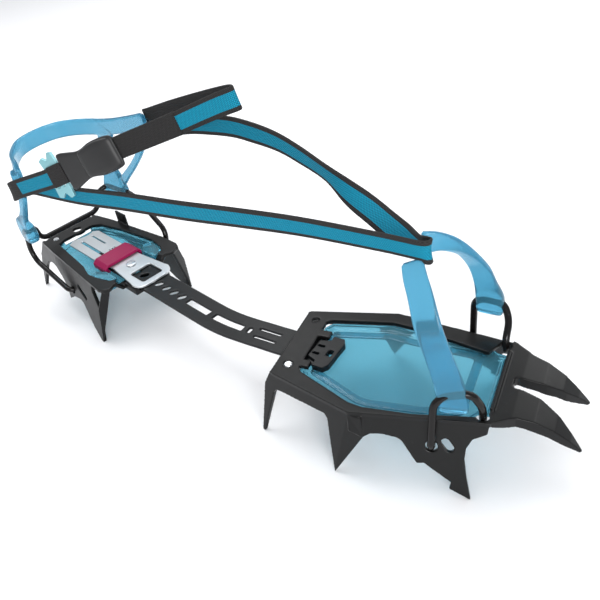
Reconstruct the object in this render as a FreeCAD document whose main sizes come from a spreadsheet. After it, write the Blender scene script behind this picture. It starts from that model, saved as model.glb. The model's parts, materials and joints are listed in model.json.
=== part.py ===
import FreeCAD, Part
import math
import os

import Sketcher
from FreeCAD import Placement, Rotation, Vector

# A strap-on crampon for a right boot, in millimetres, +Z up, spike tips on z = 0.
# Three local frames are used. The front frame has its origin on the ground below the middle of
# the front plate's rear edge, +X towards the toe. The heel frame is the same for the heel plate.
# The bar frame has its origin below the bend of the link bar, +X along the bar's front leg.
# In all of them -Y is the outer side of the boot, which is called near, and +Y is called far.

os.makedirs("parts", exist_ok=True)
doc = FreeCAD.newDocument("crampon")

DIMENSIONS = [
    ("plate_top", 42.3, "height of both pressed plates' top faces"),
    ("plate_thick", 2.4, "thickness of the pressed steel"),
    ("front_yaw", 9.0, "front plate's turn from the row's X axis, degrees"),
    ("bar_yaw", 1.2, "turn of the link bar's front leg, degrees"),
    ("heel_yaw", -11.6, "turn of the heel plate and the bar's rear leg, degrees"),
    ("bar_apex_back", 46.5, "front plate's rear edge to the bar's bend"),
    ("heel_back", 190.8, "bar's bend to the heel frame's origin"),
    ("bar_width", 20.6, "link bar's width"),
    ("bar_thick", 1.8, "link bar's thickness"),
    ("bar_base", 37.8, "height of the link bar's underside"),
    ("bar_radius", 134.0, "radius of the bar's bend in plan"),
    ("hook_thick", 3.8, "thickness of the hooked head at the bar's front end"),
    ("hole_pitch", 8.4, "distance between two adjustment holes"),
    ("lever_base", 39.9, "height of the adjuster plate's underside"),
    ("lever_thick", 1.5, "thickness of the adjuster plate"),
    ("slider_length", 16.0, "length of the lock slider along the adjuster plate"),
    ("slider_rear", 62.0, "heel frame X of the lock slider's rear face"),
    ("guide_length", 14.0, "length of the bar guide"),
    ("guide_rear", 99.0, "heel frame X of the bar guide's rear face"),
    ("rivet_radius", 2.6, "radius of a panel rivet's head"),
    ("rivet_shank", 1.4, "radius of a panel rivet's shank"),
    ("stud_radius", 3.4, "radius of the lock stud's head"),
    ("stud_shank", 1.5, "radius of the lock stud's shank"),
    ("wire_dia", 3.8, "diameter of the bail wires"),
    ("strap_width", 12.5, "width of the webbing"),
    ("strap_thick", 1.6, "thickness of the webbing"),
    ("buckle_thick", 2.0, "thickness of the buckle plate"),
    ("tab_thick", 2.2, "thickness of the pull tab's rim"),
    ("tab_grip", 3.8, "thickness of the pull tab's raised middle"),
    ("gap", 0.3, "clearance between separate bodies"),
    ("row_shift_x", 48.9, "puts the middle of the whole part over the row's origin"),
    ("row_shift_y", -16.8, "the same across"),
]

dims = doc.addObject("Spreadsheet::Sheet", "dims")
for row, (alias, value, meaning) in enumerate(DIMENSIONS, start=1):
    dims.set(f"A{row}", alias)
    dims.set(f"B{row}", str(value))
    dims.set(f"C{row}", meaning)
    dims.setAlias(f"B{row}", alias)
doc.recompute()


def cell(alias):
    return float(dims.get(alias))


TOP = cell("plate_top")
PRESSED = cell("plate_thick")
UNDER = TOP - PRESSED
WIRE = cell("wire_dia")
GAP = cell("gap")
UP = Vector(0, 0, 1)
FLANGE_LINE = 40.0
NODES = []


def heading(degrees):
    """Unit vector in plan at an angle from +X."""
    return Vector(math.cos(math.radians(degrees)), math.sin(math.radians(degrees)), 0)


SHIFT = Vector(cell("row_shift_x"), cell("row_shift_y"), 0)
APEX = SHIFT - heading(cell("bar_yaw")) * cell("bar_apex_back")
HEEL_ORIGIN = APEX - heading(cell("heel_yaw")) * cell("heel_back")
ROW = Placement(SHIFT, Rotation())
FRONT = Placement(SHIFT, Rotation(UP, cell("front_yaw")))
BAR = Placement(APEX, Rotation(UP, cell("bar_yaw")))
HEEL = Placement(HEEL_ORIGIN, Rotation(UP, cell("heel_yaw")))


# ---------------------------------------------------------------- shape helpers


def polygon(points):
    """Closed wire through plan points at z = 0."""
    corners = [Vector(p[0], p[1], 0) for p in points]
    return Part.makePolygon(corners + corners[:1])


def prism(points, low, high):
    """Plan outline raised from height low to height high."""
    face = Part.Face(polygon(points))
    face.translate(Vector(0, 0, low))
    return face.extrude(Vector(0, 0, high - low))


def grown_prism(points, grow, low, high):
    """The same with the outline moved outwards by grow, or inwards if it is negative."""
    face = Part.Face(polygon(points).makeOffset2D(grow, 2))
    face.translate(Vector(0, 0, low))
    return face.extrude(Vector(0, 0, high - low))


def side_prism(profile, low_y, high_y):
    """Side outline of (x, z) points, carried across from low_y to high_y."""
    corners = [Vector(x, low_y, z) for x, z in profile]
    face = Part.Face(Part.makePolygon(corners + corners[:1]))
    return face.extrude(Vector(0, high_y - low_y, 0))


def block(x0, x1, y0, y1, z0, z1):
    return Part.makeBox(x1 - x0, y1 - y0, z1 - z0, Vector(x0, y0, z0))


def pin_hole(x, y, radius):
    """Upright cutter for a hole through a plate."""
    return Part.makeCylinder(radius, 20, Vector(x, y, TOP - 10))


def above_ground(solid):
    """The same solid with its spike tips ground off level at z = 0."""
    return solid.common(block(-50, 200, -80, 80, 0, 80)).Solids[0]


def fused(solids):
    whole = solids[0].multiFuse(solids[1:]).removeSplitter()
    return whole.Solids[0] if len(whole.Solids) == 1 else whole


class Side:
    """A flat pressed side that hangs from the line start-end and passes through a spike tip."""

    def __init__(self, start, end, tip):
        self.start = Vector(*start)
        along = Vector(*end) - self.start
        self.length = along.Length
        self.along = along.normalize()
        lean = Vector(*tip) - self.start
        lean = lean - self.along * lean.dot(self.along)
        self.down = lean.normalize()
        across = self.along.cross(self.down)
        self.inward = across if across.y * self.start.y < 0 else across * -1

    def at(self, along, down, depth=0.0):
        """Point on the outer face, or depth inside it."""
        return self.start + self.along * along + self.down * down + self.inward * depth

    def plate(self, outline, holes=(), slots=()):
        corners = [self.at(a, d) for a, d in outline]
        solid = Part.Face(Part.makePolygon(corners + corners[:1])).extrude(self.inward * PRESSED)
        for along, down, radius in holes:
            solid = solid.cut(self.cutter(along, down, radius))
        for first, second, radius in slots:
            cutters = [self.cutter(*first, radius), self.cutter(*second, radius)]
            run = self.at(*second) - self.at(*first)
            edge = run.cross(self.inward).normalize() * radius
            base = self.at(*first, -5)
            corners = [base + edge, base + edge + run, base - edge + run, base - edge]
            cutters.append(Part.Face(Part.makePolygon(corners + corners[:1])).extrude(self.inward * 12))
            for cutter in cutters:
                solid = solid.cut(cutter)
        return solid

    def cutter(self, along, down, radius):
        return Part.makeCylinder(radius, 12, self.at(along, down, -5), self.inward)


def blade(points, towards):
    """Flat spike face through its first three points, thickened towards a point."""
    a, b, c = (Vector(*p) for p in points[:3])
    normal = (b - a).cross(c - a).normalize()
    flat = [Vector(*p) - normal * (Vector(*p) - a).dot(normal) for p in points]
    if (Vector(*towards) - a).dot(normal) < 0:
        normal = normal * -1
    return Part.Face(Part.makePolygon(flat + flat[:1])).extrude(normal * PRESSED)


def rounded_path(points, share=0.45):
    """Straight runs joined by tangent arcs, each as large as its two runs allow."""
    edges, last = [], points[0]
    for before, corner, after in zip(points, points[1:], points[2:]):
        back, on = before - corner, after - corner
        reach = share * min(back.Length, on.Length)
        enter = corner + back.normalize() * reach
        leave = corner + on.normalize() * reach
        middle = (enter + leave) * 0.5
        turn = (enter - corner).getAngle(leave - corner) / 2
        radius = reach * math.tan(turn)
        centre = corner + (middle - corner).normalize() * (reach / math.cos(turn))
        crown = centre + (corner - centre).normalize() * radius
        if (enter - last).Length > 1e-6:
            edges.append(Part.LineSegment(last, enter).toShape())
        edges.append(Part.Arc(enter, crown, leave).toShape())
        last = leave
    edges.append(Part.LineSegment(last, points[-1]).toShape())
    return Part.Wire(edges)


def rod(points, diameter):
    """Round wire along a route of points."""
    path = rounded_path([Vector(*p) for p in points])
    start = Vector(*points[0])
    ring = Part.Wire(Part.makeCircle(diameter / 2, start, Vector(*points[1]) - start))
    solid = path.makePipeShell([ring], True, False)
    expected = math.pi * diameter**2 / 4 * path.Length
    print(f"wire {path.Length:.0f} mm, volume {solid.Volume / expected:.3f} of section times length")
    return solid.Solids[0] if solid.Solids else Part.Solid(solid)


def ribbon(stations, thick):
    """Flat band through stations of (centre, half width vector), thick across its face."""
    wires = []
    count = len(stations)
    for i, (centre, half) in enumerate(stations):
        before = Vector(*stations[max(i - 1, 0)][0])
        after = Vector(*stations[min(i + 1, count - 1)][0])
        middle, side = Vector(*centre), Vector(*half)
        face = (after - before).cross(side).normalize() * (thick / 2)
        corners = [middle + side + face, middle - side + face, middle - side - face, middle + side - face]
        wires.append(Part.makePolygon(corners + corners[:1]))
    return Part.makeLoft(wires, True, True)


def node(label, shape, placement):
    """A sub-part made with Part's own functions, at its place in the row."""
    feature = doc.addObject("Part::Feature", label)
    feature.Label = label
    feature.Shape = shape
    feature.Placement = placement
    NODES.append(feature)
    return feature


# ---------------------------------------------------------------- sketch helpers


def plane(body, role):
    return next(f for f in body.Origin.OriginFeatures if f.Role == role)


def new_body(label, placement):
    body = doc.addObject("PartDesign::Body", label)
    body.Label = label
    body.Placement = placement
    NODES.append(body)
    return body


def draw_loop(sketch, points):
    """Closed loop of lines; a point given as (mid, end) is reached by an arc through mid."""
    ends = [p[1] if isinstance(p[0], tuple) else p for p in points]
    for i, point in enumerate(points):
        start, end = ends[i - 1], ends[i]
        a, b = Vector(*start, 0), Vector(*end, 0)
        if isinstance(point[0], tuple):
            sketch.addGeometry(Part.Arc(a, Vector(*point[0], 0), b))
        else:
            sketch.addGeometry(Part.LineSegment(a, b))


def pad(body, role, loops, length, base=None):
    """Pad of loops drawn on an origin plane, length and base bound to cells of the sheet."""
    number = len(body.Group)
    sketch = body.newObject("Sketcher::SketchObject", f"{body.Label}_sketch{number}")
    sketch.AttachmentSupport = [(plane(body, role), "")]
    sketch.MapMode = "FlatFace"
    if base:
        sketch.setExpression("AttachmentOffset.Base.z", base)
    for loop in loops:
        draw_loop(sketch, loop)
    feature = body.newObject("PartDesign::Pad", f"{body.Label}_pad{number}")
    feature.Profile = sketch
    feature.setExpression("Length", length)
    sketch.Visibility = False
    body.Tip = feature
    return feature


def rounded(x0, x1, y0, y1, radius):
    """Rectangle with rounded corners, as points for draw_loop."""
    bit = radius * (1 - math.sqrt(0.5))
    return [
        (x1 - radius, y0),
        ((x1 - bit, y0 + bit), (x1, y0 + radius)),
        (x1, y1 - radius),
        ((x1 - bit, y1 - bit), (x1 - radius, y1)),
        (x0 + radius, y1),
        ((x0 + bit, y1 - bit), (x0, y1 - radius)),
        (x0, y0 + radius),
        ((x0 + bit, y0 + bit), (x0 + radius, y0)),
    ]


# ---------------------------------------------------------------- front section

FRONT_OPENING = [
    (13.7, -19), (16, -22), (48, -35.5), (56, -36.5), (80, -34), (104, -28.5), (108.5, -27.5),
    (114, -26.8), (114, 25), (108.5, 25), (105, 17.5), (62, 26.8), (50, 28), (16, 21.5), (13.7, 19),
]
BETWEEN_SIDES = [
    (3, -24), (48, -38.8), (52, -38.8), (108, -28.4), (108, 26.1), (53, 33.2), (49, 32.8), (3, 23),
]
SIDE_OUTLINE_REAR = [
    (-0.3, -2.4), (-4.5, 7), (-7.6, 40.3), (-5.9, 40.5), (2.2, 10), (4, 8), (6.4, 7.5), (37, 6.6),
    (39.2, 8.5), (41.5, 22.7), (44.8, 40.9), (52.2, 0), (52.2, -2.4),
]
SIDE_OUTLINE_FRONT = [
    (0, -2.4), (0, 9), (7.3, 11.6), (11, 9.3), (16.8, 8.9), (23.9, 10.2), (26, 11.6), (33.2, 23.4),
    (36.9, 22.9), (38, 24), (49.7, 32.5), (48.7, 36.1), (59, 41.4), (56.8, 28.7), (55.8, 19.1),
    (56.5, 12.7), (59.4, 7.5), (66, 4.2), (67, -2.4),
]
TOE_HOLE = (40.3, 13.2)
TOE_HOLE_RADIUS = 3.0
REAR_HOLE = 2.2
NOTCH_RADIUS = 3.1
NOTCHES = {"near": (111.8, -26.0), "far": (111.8, 24.6)}
SIDES_FRONT = {
    "near": (
        Side((0, -27, FLANGE_LINE), (50, -42, FLANGE_LINE), (40.6, -47.5, 0)),
        Side((50, -42, FLANGE_LINE), (116, -30, FLANGE_LINE), (110.3, -43.5, 0)),
    ),
    "far": (
        Side((0, 26, FLANGE_LINE), (51, 36.5, FLANGE_LINE), (40.6, 47.5, 0)),
        Side((51, 36.5, FLANGE_LINE), (116, 28, FLANGE_LINE), (110.3, 43.5, 0)),
    ),
}


def claws():
    """The two front points, one plan outline cut by one curved side outline."""
    near_half = [
        (115, -29.5), (117, -28.8), (126, -22.5), (135.5, -20.8), (143, -19.4), (152, -17.3),
        (155.6, -16.6), (155.6, -15.4), (144.5, -8.5), (135.5, -5.1), (126.4, -3.7), (122, -3.7),
        (120.8, -2.2),
    ]
    outline = near_half + [(x, -y) for x, y in reversed(near_half)]
    side = [
        (114, TOP), (124, TOP - 0.3), (134, 39.4), (143, 34.2), (150, 28), (155.6, 21.8),
        (154.4, 21.0), (148, 24.6), (140, 30.0), (130, 34.4), (121, 36.6), (114, UNDER),
    ]
    return prism(outline, 0, TOP + 5).common(side_prism(side, -40, 40))


def front_frame():
    outline = [(0, -26), (1, -27.3), (50, -42), (116, -30), (116, 28), (51, 36.5), (1, 26.2), (0, 25)]
    solids = [prism(outline, UNDER, TOP), claws()]
    for name, (rear, front) in SIDES_FRONT.items():
        sign = -1 if name == "near" else 1
        inside = (60, 0, 20)
        corner = front.at(0, 0)
        solids.append(rear.plate(SIDE_OUTLINE_REAR))
        slots = [((46.9, 10.4), (48.9, 13.4), 2.1)]
        solids.append(front.plate(SIDE_OUTLINE_FRONT, [(*TOE_HOLE, TOE_HOLE_RADIUS)], slots))
        tip = rear.at(44.8, 40.9)
        root = front.at(7.3, 11.6)
        solids.append(blade([corner, tip, root, front.at(7, 0)], inside))
        heel_corner = rear.at(0, -1)
        solids.append(blade([heel_corner, rear.at(-7.2, 40), (0.5, sign * 15, FLANGE_LINE)], inside))
    solids.append(block(114, 116, -22, 20.6, TOP - 0.2, TOP + 1.5))
    frame = fused(solids)
    frame = frame.cut(prism(FRONT_OPENING, UNDER - 1, TOP + 0.1))
    fingers = [block(12, 20.2, 7, 12.2, UNDER, TOP), block(12, 18.2, -18, -12.8, UNDER, TOP)]
    frame = fused([frame] + fingers)
    for x, y in NOTCHES.values():
        frame = frame.cut(pin_hole(x, y, NOTCH_RADIUS))
    for y in (19.3, -18.5):
        radius = REAR_HOLE if y > 0 else cell("rivet_radius") + 0.1
        frame = frame.cut(pin_hole(7, y, radius))
    return above_ground(frame)


def front_panel():
    """Tray under the opening that keeps snow from packing in; its front wall stops behind the wires."""
    floor, wall = 36.0, UNDER - 0.2
    inside = grown_prism(FRONT_OPENING, -1.2, floor + 1.2, wall + 1)
    tray = grown_prism(FRONT_OPENING, 2.0, floor, wall).cut(inside)
    tray = tray.cut(block(107.6, 130, -50, 50, 0, 60))
    tray = tray.fuse(prism([(4.5, -21), (16, -24), (16, -14), (4.5, -14)], UNDER - 2.2, wall))
    tray = tray.common(prism(BETWEEN_SIDES, 0, 60))
    tray = tray.cut(block(0, 33, -15.5, 13.5, cell("bar_base") - GAP - 0.2, 60))
    return tray.cut(pin_hole(7, -18.5, cell("rivet_shank") + 0.1)).Solids[0]


def toe_wire_route(name):
    """Wire end inside the side's hole, up the leg, over through the cradle, down into the notch."""
    side = SIDES_FRONT[name][1]
    outside = -WIRE / 2 - 0.5
    x, y = NOTCHES[name]
    start = [side.at(*TOE_HOLE, 6.5), side.at(*TOE_HOLE, outside)]
    if name == "near":
        over = [(91, -34.2, 56.5), (107.3, -29.8, 59.5), (111.6, -27.6, 49.5)]
    else:
        over = [(92.6, 38.4, 61), (107.8, 37.6, 60), (111.8, 32.6, 53)]
    end = [(x, y, 46.5 if name == "far" else 43), (x, y, 39)]
    return [tuple(p) for p in start] + over + end


TOE_ROUTES = {name: toe_wire_route(name) for name in ("near", "far")}
TOE_ARMS = {
    "near": [
        ((99.3, -31.4, 49.5), (6.6, 0.9, 1.9)), ((99.3, -31.2, 57), (6.8, 0.9, 1.9)),
        ((97.0, -30.2, 67), (6.3, 0.8, 1.9)), ((93.6, -28.8, 79), (6.0, 0.6, 2.0)),
        ((90.3, -26.2, 91), (6.0, 0.5, 2.4)), ((86.0, -19.5, 101.5), (5.8, 0.4, 2.0)),
        ((82.5, -14.8, 107), (5.8, 0.2, 1.5)), ((80.8, -11.6, 108.6), (5.7, 0, 1.2)),
        ((79.6, -9.4, 110.2), (5.6, 0, 1.2)),
    ],
    "far": [
        ((101.6, 37.8, 54), (7.6, -0.4, 0.4)), ((101.4, 37.2, 62), (7.6, -0.4, 0)),
        ((101.0, 34.5, 74), (6.2, -0.2, -0.8)), ((99.5, 29.8, 86), (5.4, 0, -1.4)),
        ((96.3, 24.0, 96.3), (5.0, 0, -1.2)), ((92.5, 19.5, 102.5), (4.8, 0.2, 1.2)),
        ((88.0, 15.5, 106.5), (4.0, 0.4, 3.6)), ((83.0, 11.5, 108.8), (1.6, 0.6, 5.4)),
        ((78.1, 8.0, 109.6), (-2.0, 0.4, 5.8)),
    ],
}


def toe_cradle(name):
    arm = ribbon(TOE_ARMS[name], 2.6)
    lower = TOE_ARMS[name][:2]
    thick_end = ribbon([(Vector(*c) + Vector(0, 0, dz), h) for (c, h), dz in zip(lower, (0, 3))], 7.0)
    cradle = fused([arm, thick_end])
    return cradle.cut(rod(TOE_ROUTES[name], WIRE + 2 * GAP))


# ---------------------------------------------------------------- heel section

HEEL_RIM = [
    (1, -17), (4, -22.8), (22, -24.6), (94, -30.5), (98, -29.5), (101, -24.8), (98, -19.5), (95, -16.5),
    (92, -20), (80, -23.5), (72, -24.3), (60, -21), (17, -16.5), (14, -11), (14, 13), (20, 18),
    (40, 23), (60, 25.7), (74, 27.7), (88, 25.4), (92, 22.6), (95, 18), (98, 20.5), (101, 27),
    (98, 33.5), (94, 35), (78, 34.6), (50, 31), (22, 27.5), (4, 24), (1, 19),
]
HEEL_OPENING = [
    (14, -11), (17, -16.5), (60, -21), (72, -24.3), (80, -23.5), (92, -20), (95, -16.5), (95, 18),
    (92, 22.6), (88, 25.4), (74, 27.7), (60, 25.7), (40, 23), (20, 18), (14, 13),
]
REAR_SPIKE_OUTLINE = [
    (-0.5, -2.4), (-9.4, 11.2), (-13.5, 25), (-15.8, 41), (-14.4, 41.2), (-6, 25.6), (-1.2, 17.8),
    (6, 11.5), (14, 9.8), (22, 10.5), (29, 14.5), (29, -2.4),
]
SIDE_OUTLINE_HEEL = [
    (0, -2.4), (0, 9.5), (9.2, 14.3), (16.2, 19.3), (19.6, 27.7), (26.9, 22.8), (39, 20.4),
    (43.1, 21.4), (56.5, 34.6), (68, 41.6), (69.3, 41.2), (69, 13), (61.7, 4.1), (61.7, -2.4),
]
BAIL_HOLES = {"near": (27.3, 17.5), "far": (54, 9)}
BAIL_HOLE_RADIUS = 2.9
RING_CENTRE = (9, 3.2)
SIDES_HEEL = {
    "near": (
        Side((1, -22.5, FLANGE_LINE), (30, -25.3, FLANGE_LINE), (-14.2, -28.2, 0)),
        Side((22, -24.6, FLANGE_LINE), (94, -30.5, FLANGE_LINE), (90.3, -38.5, 0)),
    ),
    "far": (
        Side((1, 23.5, FLANGE_LINE), (30, 28.5, FLANGE_LINE), (-14.2, 28.2, 0)),
        Side((22, 27.5, FLANGE_LINE), (94, 35, FLANGE_LINE), (90.3, 39.5, 0)),
    ),
}
FRONT_BLADE_TOPS = {"near": [(97.8, -29.5), (100.8, -24.8)], "far": [(97.8, 33.4), (100.8, 27)]}


def heel_frame():
    solids = [prism(HEEL_RIM, UNDER, TOP)]
    for name, (rear, front) in SIDES_HEEL.items():
        solids.append(rear.plate(REAR_SPIKE_OUTLINE))
        slots = [((38, 10.5), (49, 14.8), 1.6)] if name == "near" else []
        solids.append(front.plate(SIDE_OUTLINE_HEEL, [(*BAIL_HOLES[name], BAIL_HOLE_RADIUS)], slots))
        outer, inner = FRONT_BLADE_TOPS[name]
        corners = [front.at(69, 41.2), (*inner, TOP - 1), front.at(69, 13), (*outer, TOP - 1)]
        order = [corners[0], corners[1], corners[3], corners[2]]
        solids.append(blade(order, (60, 0, 20)))
    bridge = [
        (-29, TOP), (-18.5, TOP), (-14.3, 37.0), (15, 37.0), (19.5, TOP), (33, TOP), (33, UNDER),
        (21, UNDER), (16, 34.6), (-15.3, 34.6), (-20, UNDER), (-29, UNDER),
    ]
    corners = [Vector(93, y, z) for y, z in bridge]
    solids.append(Part.Face(Part.makePolygon(corners + corners[:1])).extrude(Vector(6, 0, 0)))
    ring = Part.makeCylinder(6.5, PRESSED, Vector(*RING_CENTRE, UNDER))
    solids.append(ring)
    frame = fused(solids)
    frame = frame.cut(pin_hole(*RING_CENTRE, 3.4))
    frame = fused([frame, block(26, 39, 29, 30.6, UNDER, TOP + 8)])
    return above_ground(frame.cut(pin_hole(7, -13.8, cell("rivet_radius") + 0.1)))


def heel_panel():
    """Tray under the heel opening, with an ear each side of the adjuster plate."""
    floor, wall, channel = 34.2, UNDER - 0.2, cell("bar_base") - GAP - 0.2
    inside = grown_prism(HEEL_OPENING, -1.2, floor + 1.2, wall + 1)
    tray = grown_prism(HEEL_OPENING, 1.6, floor, wall).cut(inside)
    near_ear = [(79.5, -14.2), (92.2, -14.2), (92.2, -18.6), (80, -22.8), (74, -23.4), (72, -19)]
    far_ear = [(79.5, 15.8), (92.2, 15.8), (92.2, 21), (88, 24.4), (75, 26.8), (72, 21)]
    for ear in (near_ear, far_ear):
        tray = tray.fuse(prism(ear, wall - 4.0, TOP - 1.0))
    tray = tray.cut(block(92.3, 130, -50, 50, 0, 60))
    tray = tray.fuse(prism([(4, -19), (16, -19), (16, -11.6), (4, -11.6)], UNDER - 2.2, wall))
    tray = tray.cut(block(-5, 130, -11.2, 11.6, channel, 60))
    return tray.cut(pin_hole(7, -13.8, cell("rivet_shank") + 0.1)).Solids[0]


def bail_route():
    near, far = SIDES_HEEL["near"][1], SIDES_HEEL["far"][1]
    outside = -WIRE / 2 - 0.5
    start = [near.at(*BAIL_HOLES["near"], 6), near.at(*BAIL_HOLES["near"], outside)]
    end = [far.at(*BAIL_HOLES["far"], outside), far.at(*BAIL_HOLES["far"], 6)]
    over = [
        (0.5, -33.2, 35), (8.5, -32.4, 60), (12.0, -26.6, 61), (12.6, -25, 50.3), (12.6, 23, 50.3),
        (12.0, 27.5, 63), (14.0, 35.5, 66), (40.5, 41, 63.8), (76, 39.2, 44),
    ]
    return [tuple(p) for p in start] + over + [tuple(p) for p in end]


def heel_cradle():
    """Moulded band round the back of the heel, with an arm down each side to the bail."""
    band = [
        ((21.5, -26.5, 110), (0, 0, 6)), ((13, -22.5, 111), (0, 0, 6)), ((1, -14.5, 111), (0, 0, 6)),
        ((-6.5, -4, 111), (0, 0, 6)), ((-9, 9, 111.5), (0, 0, 6)), ((-5, 21.5, 112), (0, 0, 6)),
        ((4, 31, 112.3), (0, 0, 6)), ((18, 37, 113), (0, 0, 6.2)), ((44, 39.8, 117.5), (-1, 0, 6)),
        ((70, 40, 124.5), (-1.6, 0, 5.6)), ((92, 39.5, 131.5), (-1.6, 0, 5.0)),
    ]
    near_arm = [
        ((20.5, -27, 113), (5, 2, 0)), ((22.5, -30.2, 101), (4.6, 1, 0)), ((20.5, -32.2, 88), (4.2, 0, 0)),
        ((15.5, -33, 75), (4.0, 0, 0)), ((11.5, -33, 66), (6.2, 0, 0)), ((9.5, -33, 52.5), (5.2, 0, 0)),
    ]
    far_arm = [
        ((33, 39.0, 114), (8, 0.6, 0)), ((26, 39.6, 102), (6.5, 0.4, 0)), ((22, 39.6, 88), (6.5, 0.4, 0)),
        ((22, 39.4, 76), (9, 0.6, 0)), ((23, 39.0, 66), (12.5, 1.6, 0)), ((23, 38.8, 58), (12, 1.6, 0)),
    ]
    strut = [
        ((33, 39.9, 69), (2.4, 0, -2.4)), ((60, 40.3, 96), (2.0, 0, -2.0)),
        ((86, 39.9, 126.5), (2.4, 0, -2.4)),
    ]
    solids = [ribbon(band, 3.0), ribbon(near_arm, 3.2), ribbon(far_arm, 3.0), ribbon(strut, 3.0)]
    near_eye = ribbon([((11.2, -29.5, 65.5), (6.0, 0, 0)), ((9.6, -29.5, 54), (5.0, 0, 0))], 6.4)
    far_eye = ribbon([((23, 37.5, 70), (12.5, 2.4, 0)), ((24, 37.5, 60), (12, 2.4, 0))], 6.6)
    cradle = fused(solids + [near_eye, far_eye])
    cradle = cradle.cut(rod(bail_route(), WIRE + 2 * GAP))
    return max(cradle.Solids, key=lambda solid: solid.Volume)


# ---------------------------------------------------------------- link bar and adjuster


def bar_point(along, across):
    """Plan point of the bar's centre line, offset across; negative along is the rear leg."""
    radius = cell("bar_radius")
    turn = cell("heel_yaw") - cell("bar_yaw")
    reach = radius * math.tan(math.radians(-turn) / 2)
    if along >= reach:
        return (along, across)
    if along <= -reach:
        direction = heading(turn)
        point = direction * along + Vector(-direction.y, direction.x, 0) * across
        return (point.x, point.y)
    angle = math.radians(turn * (reach - along) / (2 * reach))
    arm = radius - across
    return (reach + arm * math.sin(angle), radius - arm * math.cos(angle))


def bar_window(start, end, half):
    """Window along the bar's bend between two stations."""
    mid = (start + end) / 2
    return [
        bar_point(end, half),
        (bar_point(mid, half), bar_point(start, half)),
        bar_point(start, -half),
        (bar_point(mid, -half), bar_point(end, -half)),
    ]


def bar_slot(start, end, across, half):
    """Straight slot between two stations."""
    corners = [(start, across - half), (end, across - half), (end, across + half), (start, across + half)]
    return [bar_point(*c) for c in corners]


def adjustment_hole(along):
    """Slanted oval hole for the lock stud."""
    radius, lean = 2.0, Vector(0.6, 0.9, 0)
    ahead = Vector(lean).normalize() * radius
    side = Vector(-ahead.y, ahead.x, 0)
    spots = [lean + side, lean + ahead, lean - side, -lean - side, -lean - ahead, -lean + side]
    a, b, c, d, e, f = [bar_point(along + p.x, p.y) for p in spots]
    return [a, (b, c), d, (e, f)]


def link_bar():
    body = new_body("link_bar", BAR)
    half = cell("bar_width") / 2
    front = cell("bar_apex_back")
    rear = 51 - cell("heel_back")
    reach = cell("bar_radius") * math.tan(math.radians(cell("bar_yaw") - cell("heel_yaw")) / 2)
    outline = [
        bar_point(-reach, -half),
        (bar_point(0, -half), bar_point(reach, -half)),
        (front + 23, -half),
        (front + 23, half),
        bar_point(reach, half),
        (bar_point(0, half), bar_point(-reach, half)),
        bar_point(rear + 3, half),
        bar_point(rear, half - 3),
        bar_point(rear, 3 - half),
        bar_point(rear + 3, -half),
    ]
    first = 146.1 - cell("heel_back")
    holes = [adjustment_hole(first - cell("hole_pitch") * k) for k in range(10)]
    windows = [
        bar_slot(-37.8, -16.4, 0, 2.4),
        bar_window(-11.5, 12.5, 2.4),
        bar_slot(16, 18.5, 0, 2.2),
        bar_slot(22.5, 37.5, 3.4, 0.8),
        bar_slot(22.5, 37.5, -3.4, 0.8),
        bar_slot(front + 16.2, front + 20.4, 2.8, 0.8),
        bar_slot(front + 16.2, front + 20.4, -3.4, 0.8),
    ]
    pad(body, "XY_Plane", [outline] + windows + holes, "dims.bar_thick", "dims.bar_base")
    head = [
        (front + 15.2, -6.6), (front + 20.8, -8.6), (front + 20.8, -12.4), (front + 27.5, -12.4),
        (front + 29.5, -9), (front + 29.5, 9), (front + 27.5, 12.4), (front + 20.8, 12.4),
        (front + 20.8, 8.6), (front + 15.2, 6.6),
    ]
    slots = [windows[-2], windows[-1], bar_slot(front + 24, front + 27, -0.6, 2.4)]
    pad(body, "XY_Plane", [head] + slots, "dims.hook_thick", "dims.bar_base")


STUD = (87.3, 0.8)


def adjuster_plate():
    body = new_body("adjuster_plate", HEEL)
    outline = [
        (62, -11.5), (64, -10.2), (80, -9.4), (107, -12.6),
        ((114.8, -11.2), (117.7, -5.5)),
        (117.7, 8.5),
        ((114.6, 14), (107, 15.2)),
        (80, 12.4), (62, 12.6), (25, 12.6), (21.4, 9.2),
        ((23.2, 3.2), (21.4, -2.8)),
        (20, -6), (23, -11.5),
    ]
    window = rounded(97, 113, -6.6, 9.6, 2.0)
    near_slot = rounded(28, 61, -5, -2.8, 0.9)
    far_slot = rounded(27, 46, 4.9, 6.1, 0.5)
    ticks = [rounded(55.6, 59.8, y, y + 0.8, 0.3) for y in (6.4, 4.2, 2.0)]
    x, y = STUD
    radius = cell("stud_shank") + 0.1
    stud_hole = [((x, y + radius), (x - radius, y)), ((x, y - radius), (x + radius, y))]
    loops = [outline, window, near_slot, far_slot, stud_hole] + ticks
    pad(body, "XY_Plane", loops, "dims.lever_thick", "dims.lever_base")


def lock_slider():
    body = new_body("lock_slider", HEEL)
    saddle = [
        (-14.6, 38.0), (-10.9, 38.0), (-10.9, 39.55), (-12.1, 39.55), (-12.1, 41.75), (13.2, 41.75),
        (13.2, 39.55), (11.2, 39.55), (11.2, 38.0), (15.6, 38.0), (15.6, 41.6), (12.6, 44.0),
        (-11.4, 44.0), (-14.6, 41.6),
    ]
    pad(body, "YZ_Plane", [saddle], "dims.slider_length", "dims.slider_rear")


def bar_guide():
    body = new_body("bar_guide", HEEL)
    half = cell("bar_width") / 2
    channel = [
        (-13.6, 34.6), (13.6, 34.6), (13.6, 39.3), (half + 0.5, 39.3), (half + 0.5, 37.4),
        (-half - 0.5, 37.4), (-half - 0.5, 39.3), (-13.6, 39.3),
    ]
    pad(body, "YZ_Plane", [channel], "dims.guide_length", "dims.guide_rear")


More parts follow.
